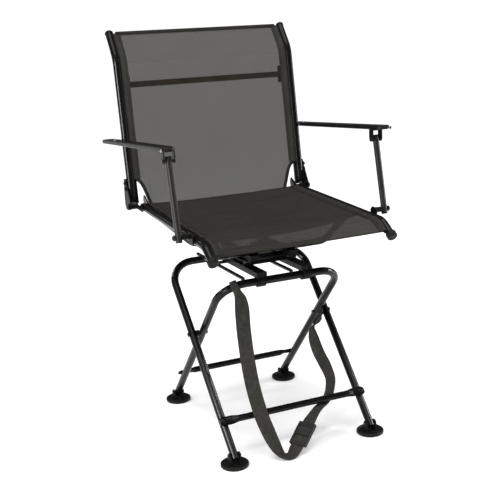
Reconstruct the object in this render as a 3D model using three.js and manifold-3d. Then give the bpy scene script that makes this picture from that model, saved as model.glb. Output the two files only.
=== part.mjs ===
// Folding swivel chair for a hunting blind: two crossed leg frames on tilting foot pads,
// a turntable on a lift-off bracket, and a sling seat with a fold-down back and armrests.
// Millimetres. +Z is up and -Y is the front. Left and right are as seen from in front: left is -X.
import * as THREE from "three";
import { mergeVertices } from "three/addons/utils/BufferGeometryUtils.js";
import Module from "manifold-3d";

const wasm = await Module();
wasm.setup();
const V = (x, y, z) => new THREE.Vector3(x, y, z);
const SIDES = [["left", -1], ["right", 1]];

// ---------------------------------------------------------------- driving dimensions
const GAP = 0.3; // paint gap left between pieces that touch

const legRadius = 9.5;
const legBend = 62; // centreline radius of the leg frames' corners
const ankleHeight = 24; // foot pivot above the floor
const footReach = 220; // foot pivot in front of or behind the leg crossing
const topHeight = 403; // centre of both top tubes
const topReach = 139; // top tube in front of or behind the leg crossing
const outerFootX = 180.5;
const outerTopX = 187;
const innerFootX = 159.5;
const innerTopX = 157;
const ankleStub = 8; // leg tube past the foot pivot

const barRadius = 8;
const barOffset = legRadius + 2.5 + GAP; // crossbar axis in front of its leg axis
const frontBarHeight = 83; // height of the leg's axis where the bar crosses it
const rearBarHeight = 89;

const padRadius = 33;
const padFloor = 6;
const padRim = 8.5;
const earThickness = 3.2;
const earInner = 10.4; // half the gap between the ears of a foot pad
const pinRadius = 3;

const channelX = 58;
const channelWidth = 26;
const channelHeight = 13;
const channelSheet = 2.2;
const channelHalfLength = 150;
const braceRodX = [-104, 20];
const braceRodRadius = 4.5;
const plateHalf = 75;
const plateThickness = 3.5;
const bearingHeight = 6;
const kingpinRadius = 8;

const mountX = 50; // bars between the turntable and the cross tubes
const crossTubeRadius = 8;
const crossTubeHeight = 462;
const crossTubeFlat = 140; // half of a cross tube's level middle
const crossTubeY = [-85, 75];

const seatTubeRadius = 9.5;
const railX = 222;
const railRear = V(0, 205, 546.9);
const railBendPoint = V(0, -225, 525.4);
const railFront = V(0, -260, 501.3);
const railBend = 50;
const ribReach = 16; // sling groove rib, from the tube's axis

const postX = 242;
const postFoot = V(0, 229.7, 553);
const postBendPoint = V(0, 276.9, 918);
const postTop = V(0, 321.5, 979);
const postBend = 70;

const hingeY = 217; // axis on which the back folds forward
const hingeZ = 548;

const armPivotY = 249; // armrest on the post
const armPivotZ = 713;
const armFootY = -170; // armrest support on the seat rail
const armFootZ = 540;
const armFrontY = armFootY + armPivotY - hingeY; // armrest on its support
const armFrontZ = armFootZ + armPivotZ - hingeZ;
const armInnerX = 253.5;
const armOuterX = 286.5;
const armThickness = 9.4;
const armSlope = -0.0502; // rise per millimetre towards the rear
const armNose = -169;
const armTail = 321;
const supportX = 262;
const supportRadius = 7.5;

const strapWidth = 36;
const strapThickness = 1.8;

const railHeight = (y) =>
  railRear.z + ((railBendPoint.z - railRear.z) * (y - railRear.y)) / (railBendPoint.y - railRear.y);
const postDepth = (z) =>
  postFoot.y + ((postBendPoint.y - postFoot.y) * (z - postFoot.z)) / (postBendPoint.z - postFoot.z);

// ---------------------------------------------------------------- shape helpers
// A closed mesh through rings of equal length, each ring being one cross-section. For a thin
// sheet, twoFaced splits both faces along the same diagonals, so its thickness stays even.
function loft(rings, twoFaced = false) {
  const count = rings[0].length;
  const positions = [];
  const index = [];
  for (const ring of rings) for (const p of ring) positions.push(p.x, p.y, p.z);
  for (let i = 0; i + 1 < rings.length; i++) {
    for (let j = 0; j < count; j++) {
      const a = i * count + j;
      const b = i * count + ((j + 1) % count);
      if (twoFaced && j >= count / 2) {
        index.push(a, b, a + count, b, b + count, a + count);
      } else {
        index.push(a, b, b + count, a, b + count, a + count);
      }
    }
  }
  const cap = capTriangles(rings[0]);
  const last = (rings.length - 1) * count;
  for (const [a, b, c] of cap) {
    index.push(a, c, b);
    index.push(last + a, last + b, last + c);
  }
  const geometry = new THREE.BufferGeometry();
  geometry.setAttribute("position", new THREE.Float32BufferAttribute(positions, 3));
  geometry.setIndex(index);
  return faceOut(geometry);
}

// Triangles over one ring, worked out in the ring's own plane.
function capTriangles(ring) {
  const centre = ring.reduce((sum, p) => sum.add(p), V(0, 0, 0)).divideScalar(ring.length);
  const normal = V(0, 0, 0);
  for (let i = 0; i < ring.length; i++) {
    const a = ring[i].clone().sub(centre);
    const b = ring[(i + 1) % ring.length].clone().sub(centre);
    normal.add(a.cross(b));
  }
  normal.normalize();
  const across = ring[0].clone().sub(ring[Math.floor(ring.length / 2)]).normalize();
  const along = normal.clone().cross(across);
  const flat = ring.map((p) => new THREE.Vector2(p.dot(across), p.dot(along)));
  return THREE.ShapeUtils.triangulateShape(flat, []);
}

// Turns a closed mesh round if its faces point inwards.
function faceOut(geometry) {
  const p = geometry.attributes.position;
  const index = geometry.index.array;
  let volume = 0;
  const [a, b, c] = [V(), V(), V()];
  for (let i = 0; i < index.length; i += 3) {
    a.fromBufferAttribute(p, index[i]);
    b.fromBufferAttribute(p, index[i + 1]);
    c.fromBufferAttribute(p, index[i + 2]);
    volume += a.dot(b.clone().cross(c));
  }
  if (volume < 0) {
    const turned = [];
    for (let i = 0; i < index.length; i += 3) turned.push(index[i], index[i + 2], index[i + 1]);
    geometry.setIndex(turned);
  }
  return geometry;
}

// Points along a polyline whose inner corners are rounded to the given radius.
function roundedPath(corners, radius, steps) {
  const path = [corners[0].clone()];
  for (let i = 1; i + 1 < corners.length; i++) {
    const back = corners[i - 1].clone().sub(corners[i]).normalize();
    const ahead = corners[i + 1].clone().sub(corners[i]).normalize();
    const half = back.angleTo(ahead) / 2;
    const reach = radius / Math.tan(half);
    const middle = back.clone().add(ahead).normalize();
    const centre = corners[i].clone().addScaledVector(middle, radius / Math.sin(half));
    const from = corners[i].clone().addScaledVector(back, reach).sub(centre);
    const axis = from.clone().cross(corners[i].clone().addScaledVector(ahead, reach).sub(centre));
    axis.normalize();
    const turn = Math.PI - 2 * half;
    for (let k = 0; k <= steps; k++) {
      path.push(from.clone().applyAxisAngle(axis, (turn * k) / steps).add(centre));
    }
  }
  path.push(corners[corners.length - 1].clone());
  return path;
}

// Sweeps a flat section along a path that lies in one plane. Section points are
// [along the plane's normal, in the plane]; sectionAt may change it from ring to ring.
function sweep(path, planeNormal, sectionAt) {
  const normal = planeNormal.clone().normalize();
  const rings = path.map((p, i) => {
    const ahead = path[Math.min(i + 1, path.length - 1)].clone().sub(p);
    const behind = p.clone().sub(path[Math.max(i - 1, 0)]);
    const a = (ahead.length() ? ahead : behind).clone().normalize();
    const b = (behind.length() ? behind : ahead).clone().normalize();
    const tangent = a.clone().add(b).normalize();
    const widen = 1 / Math.max(0.5, tangent.dot(a));
    const inPlane = tangent.clone().cross(normal).normalize();
    return sectionAt(i).map(([u, v]) =>
      p.clone().addScaledVector(normal, u).addScaledVector(inPlane, v * widen));
  });
  return loft(rings);
}

function circle(radius, count) {
  const points = [];
  for (let i = 0; i < count; i++) {
    const angle = (2 * Math.PI * (i + 0.5)) / count;
    points.push([radius * Math.cos(angle), radius * Math.sin(angle)]);
  }
  return points;
}

// A turned piece: profile points are [distance along the axis, radius], from end to end.
function turned(start, axis, profile, count) {
  const along = axis.clone().normalize();
  const u = (Math.abs(along.z) < 0.9 ? V(0, 0, 1) : V(1, 0, 0)).cross(along).normalize();
  const v = along.clone().cross(u);
  const rings = profile.map(([distance, radius]) =>
    circle(radius, count).map(([a, b]) =>
      start.clone().addScaledVector(along, distance).addScaledVector(u, a).addScaledVector(v, b)));
  return loft(rings);
}

// A straight round bar between two points.
function bar(from, to, radius, count) {
  const axis = to.clone().sub(from);
  return turned(from, axis, [[0, radius], [axis.length(), radius]], count);
}

function box(x0, x1, y0, y1, z0, z1) {
  const ring = (z) => [V(x0, y0, z), V(x1, y0, z), V(x1, y1, z), V(x0, y1, z)];
  return loft([ring(z0), ring(z1)]);
}

// A plate cut to an outline of [y, z] points and lying between two x values.
function sidePlate(outline, x0, x1) {
  const ring = (x) => outline.map(([y, z]) => V(x, y, z));
  return loft([ring(x0), ring(x1)]);
}

function solid(geometry) {
  const bare = new THREE.BufferGeometry();
  bare.setAttribute("position", geometry.attributes.position.clone());
  bare.setIndex(geometry.index.clone());
  const welded = mergeVertices(bare, 1e-4);
  return new wasm.Manifold(new wasm.Mesh({
    numProp: 3,
    vertProperties: welded.attributes.position.array,
    triVerts: new Uint32Array(welded.index.array),
  }));
}

function geometryOf(manifold) {
  const mesh = manifold.getMesh();
  const geometry = new THREE.BufferGeometry();
  geometry.setAttribute("position", new THREE.Float32BufferAttribute(mesh.vertProperties, 3));
  geometry.setIndex(new THREE.Uint32BufferAttribute(mesh.triVerts, 1));
  return geometry;
}

const join = (first, ...others) =>
  geometryOf(others.reduce((sum, g) => sum.add(solid(g)), solid(first)));
const cut = (first, ...others) =>
  geometryOf(others.reduce((rest, g) => rest.subtract(solid(g)), solid(first)));

// ---------------------------------------------------------------- materials and nodes
const finishes = {
  tube: { color: 0x17181a, roughness: 0.28, metalness: 0.6 },
  plate: { color: 0x1c1d1f, roughness: 0.45, metalness: 0.5 },
  bolt: { color: 0x8b8c8e, roughness: 0.35, metalness: 0.9 },
  plastic: { color: 0x141414, roughness: 0.6, metalness: 0 },
  mesh: { color: 0x5c5852, roughness: 0.85, metalness: 0 },
  webbing: { color: 0x1d1d1e, roughness: 0.9, metalness: 0 },
};
const group = new THREE.Group();
group.name = "folding_swivel_chair";
function node(name, finish, geometry) {
  const mesh = new THREE.Mesh(geometry, new THREE.MeshStandardMaterial(finishes[finish]));
  mesh.name = name;
  group.add(mesh);
}

// ---------------------------------------------------------------- leg frames
// face is +1 for the frame whose top tube is at the rear, -1 for the one in front.
function legFrame(footX, topX, face) {
  const foot = (s) => V(s * footX, -face * footReach, ankleHeight);
  const top = (s) => V(s * topX, face * topReach, topHeight);
  const up = top(1).sub(foot(1)).normalize();
  const stub = (s) => foot(s).addScaledVector(V(s * up.x, up.y, up.z), -ankleStub);
  const path = roundedPath([stub(-1), top(-1), top(1), stub(1)], legBend, 9);
  const normal = V(1, 0, 0).cross(top(-1).sub(foot(-1)));
  const section = circle(legRadius, 20);
  const tube = sweep(path, normal, () => section);
  const crossing = ankleHeight
    + ((topHeight - ankleHeight) * footReach) / (footReach + topReach);
  const drills = [V(0, 0, crossing), foot(1)].flatMap((at) => [-1, 1].map((s) =>
    bar(V(s * 120, at.y, at.z), V(s * 220, at.y, at.z), pinRadius + 0.2, 16)));
  return cut(tube, ...drills);
}
const crossingHeight = ankleHeight
  + ((topHeight - ankleHeight) * footReach) / (footReach + topReach);
const legXAtCrossing = (footX, topX) =>
  footX + ((topX - footX) * footReach) / (footReach + topReach);
const outerX = legXAtCrossing(outerFootX, outerTopX);
const innerX = legXAtCrossing(innerFootX, innerTopX);

node("outer_leg_tube", "tube", legFrame(outerFootX, outerTopX, 1));
node("inner_leg_tube", "tube", legFrame(innerFootX, innerTopX, -1));

// Crossbar with flattened, riveted ends, on the upper face of its two legs.
function crossbar(face, legHeight, halfLength, legAcross) {
  const legUp = V(0, face * (footReach + topReach), topHeight - ankleHeight).normalize();
  const outward = V(0, -face * legUp.z, Math.abs(legUp.y));
  const onLeg = V(0, -face * footReach, ankleHeight)
    .addScaledVector(legUp, (legHeight - ankleHeight) / legUp.z);
  const axis = onLeg.addScaledVector(outward, barOffset);
  const oval = (wide, thick) => circle(1, 16).map(([a, b]) =>
    V(0, 0, 0).addScaledVector(legUp, a * wide).addScaledVector(outward, b * thick));
  const stations = [[halfLength, 7, 2.2], [halfLength - 6, 11, 2.4], [halfLength - 32, 11, 2.4],
    [halfLength - 46, barRadius, barRadius]];
  const right = stations.map(([x, wide, thick]) =>
    oval(wide, thick).map((p) => p.add(axis).add(V(x, 0, 0))));
  const left = stations.map(([x, wide, thick]) =>
    oval(wide, thick).map((p) => p.add(axis).add(V(-x, 0, 0)))).reverse();
  const tube = loft([...right, ...left]);
  const rivets = [-1, 1].map((s) =>
    turned(axis.clone().add(V(s * legAcross, 0, 0)).addScaledVector(outward, 1), outward,
      [[0, 6], [1.8, 6], [3.2, 4.6], [4, 2.4]], 12));
  return join(tube, ...rivets);
}
node("front_crossbar", "tube", crossbar(1, frontBarHeight, 193, outerFootX + 1));
node("rear_crossbar", "tube", crossbar(-1, rearBarHeight, 172, innerFootX - 0.5));

for (const [side, s] of SIDES) {
  const inside = innerX - legRadius - GAP;
  const outside = outerX + legRadius + GAP;
  const start = V(s * (inside - 3.2), 0, crossingHeight);
  const length = outside - inside;
  node(`leg_pivot_bolt_${side}`, "bolt", turned(start, V(s, 0, 0), [[0, 3.5], [1.2, 5.4],
    [3.2, 5.4], [3.2, pinRadius], [3.2 + length, pinRadius], [3.2 + length, 5.6],
    [5 + length, 5.6], [6.2 + length, 3.6]], 16));
  const from = innerX + legRadius + 0.4;
  const to = outerX - legRadius - 0.4;
  const ring = bar(V(s * from, 0, crossingHeight), V(s * to, 0, crossingHeight), 7.6, 20);
  const hole = bar(V(s * (from - 1), 0, crossingHeight), V(s * (to + 1), 0, crossingHeight),
    pinRadius + 0.3, 16);
  node(`leg_pivot_spacer_${side}`, "plastic", cut(ring, hole));
}

// ---------------------------------------------------------------- foot pads
const feet = [
  ["front_left", -outerFootX, -footReach],
  ["front_right", outerFootX, -footReach],
  ["rear_left", -innerFootX, footReach],
  ["rear_right", innerFootX, footReach],
];
for (const [place, x, y] of feet) {
  const dish = turned(V(x, y, 0), V(0, 0, 1), [[0, padRadius - 2], [2, padRadius],
    [padRim - 1.5, padRadius], [padRim, padRadius - 1.5], [padRim, padRadius - 4],
    [padFloor, padRadius - 6]], 26);
  const earOutline = (grow) => {
    const points = [[y - 11, padFloor - 1.5]];
    for (let k = 0; k <= 8; k++) {
      const angle = Math.PI - (Math.PI * k) / 8;
      points.push([y + (8 + grow) * Math.cos(angle), ankleHeight + (8 + grow) * Math.sin(angle)]);
    }
    points.push([y + 11, padFloor - 1.5]);
    return points;
  };
  const ears = [-1, 1].map((s) => sidePlate(earOutline(0),
    x + s * earInner, x + s * (earInner + earThickness)));
  const pivotHole = bar(V(x - 30, y, ankleHeight), V(x + 30, y, ankleHeight), pinRadius + 0.2, 16);
  node(`foot_pad_${place}`, "plastic", cut(join(dish, ...ears), pivotHole));
  const half = earInner + earThickness + GAP;
  node(`foot_pin_${place}`, "bolt", turned(V(x - half - 2.2, y, ankleHeight), V(1, 0, 0),
    [[0, 3.6], [0.8, 5], [2.2, 5], [2.2, pinRadius], [2.2 + 2 * half, pinRadius],
      [2.2 + 2 * half, 5], [3.6 + 2 * half, 5], [4.4 + 2 * half, 3.6]], 16));
}

// ---------------------------------------------------------------- turntable bracket
const channelBottom = topHeight + legRadius + 0.6;
const channelTop = channelBottom + channelHeight;
const clampInner = legRadius + 0.5;
const clampOuter = clampInner + 3.4;
for (const [side, s] of SIDES) {
  const x = s * channelX;
  const w = channelWidth / 2;
  const outline = [[-w, 0], [-w, channelHeight], [w, channelHeight], [w, 0],
    [w - channelSheet, 0], [w - channelSheet, channelHeight - channelSheet],
    [channelSheet - w, channelHeight - channelSheet], [channelSheet - w, 0]];
  const ring = (y) => outline.map(([u, v]) => V(x + u, y, channelBottom + v));
  node(`bracket_channel_${side}`, "plate", loft([ring(-channelHalfLength), ring(channelHalfLength)]));

  const halfWidth = 10;
  const blockTop = channelTop - channelSheet - GAP;
  // Closed clamp, free to turn on the front top tube.
  const sleeve = bar(V(x - halfWidth, -topReach, topHeight), V(x + halfWidth, -topReach, topHeight),
    clampOuter, 24);
  const post = box(x - halfWidth, x + halfWidth, -topReach - 8, -topReach + 8, topHeight, blockTop);
  const bore = bar(V(x - 20, -topReach, topHeight), V(x + 20, -topReach, topHeight), clampInner, 24);
  node(`tube_clamp_${side}`, "plate", cut(join(sleeve, post), bore));
  // Open saddle that only rests on the rear top tube, so that it lifts off as the legs fold.
  const shell = bar(V(x - halfWidth, topReach, topHeight), V(x + halfWidth, topReach, topHeight),
    clampOuter, 24);
  const block = box(x - halfWidth, x + halfWidth, topReach - 8, topReach + 8, topHeight, blockTop);
  const rearBore = bar(V(x - 20, topReach, topHeight), V(x + 20, topReach, topHeight),
    clampInner, 24);
  const mouth = box(x - 20, x + 20, topReach - 30, topReach + 30, topHeight - 30, topHeight + 5.5);
  node(`rear_saddle_${side}`, "plate", cut(join(shell, block), rearBore, mouth));
}
const rodHeight = topHeight + legRadius + braceRodRadius + GAP;
const braceRods = braceRodX.map((x) => bar(V(x, -topReach - 7, rodHeight),
  V(x, topReach + 7, rodHeight), braceRodRadius, 12));
const braceStrap = box(braceRodX[0] - 9, braceRodX[1] + 9, 40, 60, channelBottom - 3.4,
  channelBottom - 0.4);
const braceSeats = braceRodX.map((x) => box(x - 8, x + 8, 40, 60, channelBottom - 2, rodHeight));
node("brace_rods", "tube", join(braceStrap, ...braceSeats, ...braceRods));

const lowerPlateBottom = channelTop + GAP;
const bearingBottom = lowerPlateBottom + plateThickness + GAP;
const upperPlateBottom = bearingBottom + bearingHeight + GAP;
const mountBottom = upperPlateBottom + plateThickness + GAP;
const mountTop = crossTubeHeight - crossTubeRadius - GAP;
const kingpinHole = bar(V(0, 0, 380), V(0, 0, 500), kingpinRadius + 0.2, 24);
function turntablePlate(half, z) {
  const corner = 14;
  const outline = [];
  for (const [cx, cy, from] of [[1, 1, 0], [-1, 1, 1], [-1, -1, 2], [1, -1, 3]]) {
    for (let k = 0; k <= 3; k++) {
      const angle = ((from + k / 3) * Math.PI) / 2;
      outline.push([cx * (half - corner) + corner * Math.cos(angle),
        cy * (half - corner) + corner * Math.sin(angle)]);
    }
  }
  const ring = (height) => outline.map(([x, y]) => V(x, y, height));
  return cut(loft([ring(z), ring(z + plateThickness)]), kingpinHole);
}
node("turntable_lower_plate", "plate", turntablePlate(plateHalf, lowerPlateBottom));
const bearingDisc = bar(V(0, 0, bearingBottom), V(0, 0, bearingBottom + bearingHeight), 56, 40);
const bearingHole = bar(V(0, 0, bearingBottom - 1), V(0, 0, bearingBottom + bearingHeight + 1), 36, 32);
node("turntable_bearing_ring", "bolt", cut(bearingDisc, bearingHole));
const kingpinBottom = lowerPlateBottom - GAP - 5;
const kingpinNeck = upperPlateBottom + plateThickness + GAP - kingpinBottom;
node("turntable_kingpin", "bolt", turned(V(0, 0, kingpinBottom), V(0, 0, 1),
  [[0, 10], [1.5, 13], [5, 13], [5, kingpinRadius], [kingpinNeck, kingpinRadius],
    [kingpinNeck, 13], [kingpinNeck + 5, 13], [kingpinNeck + 6.5, 10]], 24));

// ---------------------------------------------------------------- seat frame
node("turntable_upper_plate", "plate", turntablePlate(plateHalf - 3, upperPlateBottom));
for (const [side, s] of SIDES) {
  const x = s * mountX;
  node(`seat_mount_bar_${side}`, "plate",
    box(x - 12, x + 12, crossTubeY[0] - 14, crossTubeY[1] + 14, mountBottom, mountTop));
}
for (const [i, place] of ["front", "rear"].entries()) {
  const y = crossTubeY[i];
  const flat = (s) => V(s * crossTubeFlat, y, crossTubeHeight);
  const end = (s) => {
    const rail = V(s * railX, y, railHeight(y) - 1);
    return rail.addScaledVector(rail.clone().sub(flat(s)).normalize(), -(seatTubeRadius + 0.9));
  };
  const path = roundedPath([end(-1), flat(-1), flat(1), end(1)], 34, 5);
  const section = circle(crossTubeRadius, 16);
  node(`seat_cross_tube_${place}`, "tube", sweep(path, V(0, 1, 0), () => section));
}

// Round tube with a rib on its inner side that holds the sling's welt.
function slingSection(s, low, high) {
  const points = [];
  const count = 22;
  const r = seatTubeRadius;
  const startAngle = Math.asin(high / r);
  const endAngle = 2 * Math.PI + Math.asin(low / r);
  for (let k = 0; k <= count; k++) {
    const angle = startAngle + ((endAngle - startAngle) * k) / count;
    points.push([-s * r * Math.cos(angle), r * Math.sin(angle)]);
  }
  points.push([-s * ribReach, low]);
  points.push([-s * ribReach, high]);
  return points;
}
const seatSlingHeight = 4.5; // welt above the rail's axis, square to the rail
for (const [side, s] of SIDES) {
  const at = (p) => V(s * railX, p.y, p.z);
  const path = roundedPath([at(railRear), at(railBendPoint), at(railFront)], railBend, 6);
  const section = slingSection(s, 1.5, 7.5);
  const rail = sweep(path, V(1, 0, 0), () => section);
  const boltHole = bar(V(s * (railX - 2), hingeY - 24, hingeZ - 1.4),
    V(s * 240, hingeY - 24, hingeZ - 1.4), pinRadius + 0.2, 16);
  const lug = sidePlate([[186, 545], [205, 544], [227, 549], [230, 560], [226, 572], [218, 569],
    [186, 552]], s * (railX - 12.5), s * (railX - 8.5));
  node(`seat_rail_${side}`, "tube", join(cut(rail, boltHole), lug));

  const nose = railFront.clone().sub(railBendPoint).normalize();
  const capStart = at(railFront).addScaledVector(nose, GAP);
  node(`rail_cap_${side}`, "plastic", turned(capStart, nose,
    [[0, 12.4], [11.2, 12.4], [12.9, 10.6], [13.4, 6]], 20));
}

// Sling sheet: a shallow hammock section carried along points in the side plane.
function slingSheet(path, halfWidthAt, sagAt, thickness) {
  const across = 6;
  const rings = path.map((p, i) => {
    const ahead = path[Math.min(i + 1, path.length - 1)].clone()
      .sub(path[Math.max(i - 1, 0)]).normalize();
    const up = ahead.clone().cross(V(1, 0, 0)).normalize();
    const ring = [];
    for (const [from, step, lift] of [[0, 1, 0.5], [across, -1, -0.5]]) {
      for (let k = 0; k <= across; k++) {
        const t = (from + step * k) / across;
        const u = 2 * t - 1;
        const sag = sagAt(i) * (1 - u * u);
        ring.push(V(u * halfWidthAt(p), 0, 0).add(p)
          .addScaledVector(up, lift * thickness - sag));
      }
    }
    return ring;
  });
  return loft(rings, true);
}
const seatPath = roundedPath([V(0, railRear.y - 1, railRear.z), railBendPoint.clone(),
  railFront.clone().lerp(railBendPoint, 0.12)], railBend, 5);
const seatLine = [];
for (let i = 0; i < 7; i++) seatLine.push(seatPath[0].clone().lerp(seatPath[1], i / 7));
seatLine.push(...seatPath.slice(1));
const seatSag = 9;
const seatLift = seatLine.map((p, i) => {
  const ahead = seatLine[Math.min(i + 1, seatLine.length - 1)].clone()
    .sub(seatLine[Math.max(i - 1, 0)]).normalize();
  return p.clone().addScaledVector(V(0, -ahead.z, ahead.y), -seatSlingHeight);
});
const sagAlong = (i) => Math.sin((Math.PI * Math.min(i, 9)) / 12);
node("seat_sling", "mesh", slingSheet(seatLift, () => railX - ribReach - GAP,
  (i) => seatSag * sagAlong(i), 2));
// Second layer close under the seat, from its rear edge to short of the front.
const underLine = seatLift.filter((p) => p.y > -151).map((p) => p.clone().add(V(0, 0, -2.7)));
underLine.push(V(0, -150, railHeight(-150) + seatSlingHeight - 2.7));
node("seat_underlayer", "mesh", slingSheet(underLine, () => railX - ribReach - GAP,
  (i) => seatSag * sagAlong(i) + 13 * Math.min(1, i / 3), 1.2));

// ---------------------------------------------------------------- back
const backBow = 6; // how far the back sling bulges rearwards between the posts
for (const [side, s] of SIDES) {
  const at = (p) => V(s * postX, p.y, p.z);
  const path = roundedPath([at(postFoot), at(postBendPoint), at(postTop)], postBend, 7);
  const section = slingSection(s, -3, 3);
  const post = sweep(path, V(1, 0, 0), () => section);
  const armHole = bar(V(s * (postX - 1), armPivotY, armPivotZ), V(s * 262, armPivotY, armPivotZ),
    pinRadius + 0.2, 16);
  const plateHoles = [592, 606].map((z) => bar(V(s * (postX - 1), postDepth(z), z),
    V(s * 262, postDepth(z), z), pinRadius + 0.2, 16));
  // The post's foot is coped round the hinge bolt, so it can fold down over it.
  const cope = bar(V(s * (postX - 20), hingeY, hingeZ), V(s * (postX + 12), hingeY, hingeZ), 11.2, 28);
  node(`back_post_${side}`, "tube", cut(post, armHole, cope, ...plateHoles));

  const up = postTop.clone().sub(postBendPoint).normalize();
  node(`post_cap_${side}`, "plastic", turned(at(postTop).addScaledVector(up, GAP), up,
    [[0, 10.6], [4, 10.6], [6.5, 8.5], [7.6, 5]], 20));
}
const postAxis = postTop.clone().sub(postBendPoint).normalize();
const topBarCentre = postTop.clone().addScaledVector(postAxis, 1.5);
node("back_top_rod", "tube", bar(V(-(postX - ribReach - 0.6), topBarCentre.y, topBarCentre.z),
  V(postX - ribReach - 0.6, topBarCentre.y, topBarCentre.z), 4, 14));
const braceZ = 851;
const braceY = postDepth(braceZ) + 15.5;
const braceHalf = postX - ribReach + 2;
const braceEnds = [-1, 1].map((s) => box(s * (braceHalf - 18), s * (braceHalf + 4),
  braceY - 8.2, braceY - 3, braceZ - 22, braceZ + 22));
node("back_cross_brace", "plate", join(box(-braceHalf + 2, braceHalf - 2,
  braceY - 5, braceY + 3, braceZ - 7.2, braceZ + 7.2), ...braceEnds));

// The sling's lower corners are cut away in a curve, to clear the folding joints.
const cutOut = [[540, 190.5], [558, 196.5], [577, 202.5], [594, 208.5], [605, 214.5], [612, 222.5]];
const backPath = roundedPath([V(0, postDepth(630), 630), postBendPoint.clone(),
  topBarCentre.clone().addScaledVector(postAxis, -4.6)], postBend, 6);
const backLine = cutOut.map(([z]) => V(0, postDepth(z), z));
for (let i = 0; i < 5; i++) backLine.push(backPath[0].clone().lerp(backPath[1], i / 5));
backLine.push(...backPath.slice(1));
const backHalf = (p) => {
  const row = cutOut.find(([z]) => Math.abs(z - p.z) < 0.01);
  return row ? row[1] : postX - ribReach - GAP;
};
node("back_sling", "mesh", slingSheet(backLine, backHalf,
  (i) => -backBow * Math.sin((Math.PI * Math.min(i, 12)) / 16), 2));

// Folding joint: a plate bolted to the post turns on a bolt fixed in the rail.
for (const [side, s] of SIDES) {
  const plateIn = 252.2;
  const plateOut = 255.2;
  const outline = [[204, 545], [211, 541], [222, 540.5], [248, 543], [253, 548],
    [254, 572], [250.5, 616], [236, 618], [229, 600], [205, 556]];
  const plate = sidePlate(outline, s * plateIn, s * plateOut);
  const hingeHole = bar(V(s * 245, hingeY, hingeZ), V(s * 262, hingeY, hingeZ), 4.2, 20);
  const postBolts = [592, 606].map((z) => turned(V(s * (postX + 0.5), postDepth(z), z), V(s, 0, 0),
    [[0, pinRadius], [plateIn + 1 - postX - 0.5, pinRadius], [plateIn + 1 - postX - 0.5, 5.2],
      [plateOut + 2 - postX - 0.5, 5.2], [plateOut + 3.2 - postX - 0.5, 3.4]], 14));
  node(`back_hinge_plate_${side}`, "plate", join(cut(plate, hingeHole), ...postBolts));
  // Cheek on the rail that carries the hinge bolt.
  const cheek = sidePlate([[176, 538.5], [224, 540.5], [227, 548], [222, 551.5], [176, 550]],
    s * (railX + seatTubeRadius + 0.3), s * (railX + seatTubeRadius + 3.3));
  const stud = turned(V(s * (railX + seatTubeRadius + 1), hingeY, hingeZ), V(s, 0, 0), [
    [0, 7], [plateIn - GAP - railX - seatTubeRadius - 1, 7],
    [plateIn - GAP - railX - seatTubeRadius - 1, 4],
    [plateOut + GAP - railX - seatTubeRadius - 1, 4],
    [plateOut + GAP - railX - seatTubeRadius - 1, 8],
    [plateOut + 2.6 - railX - seatTubeRadius - 1, 8],
    [plateOut + 4.2 - railX - seatTubeRadius - 1, 5.4]], 20);
  const fixing = turned(V(s * (railX + 3), hingeY - 24, hingeZ - 1.4), V(s, 0, 0), [
    [0, pinRadius], [seatTubeRadius + 1, pinRadius], [seatTubeRadius + 1, 5.4],
    [seatTubeRadius + 2.4, 5.4], [seatTubeRadius + 3.2, 3.6]], 14);
  node(`hinge_stud_${side}`, "plate", join(cheek, stud, fixing));
}

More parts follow.
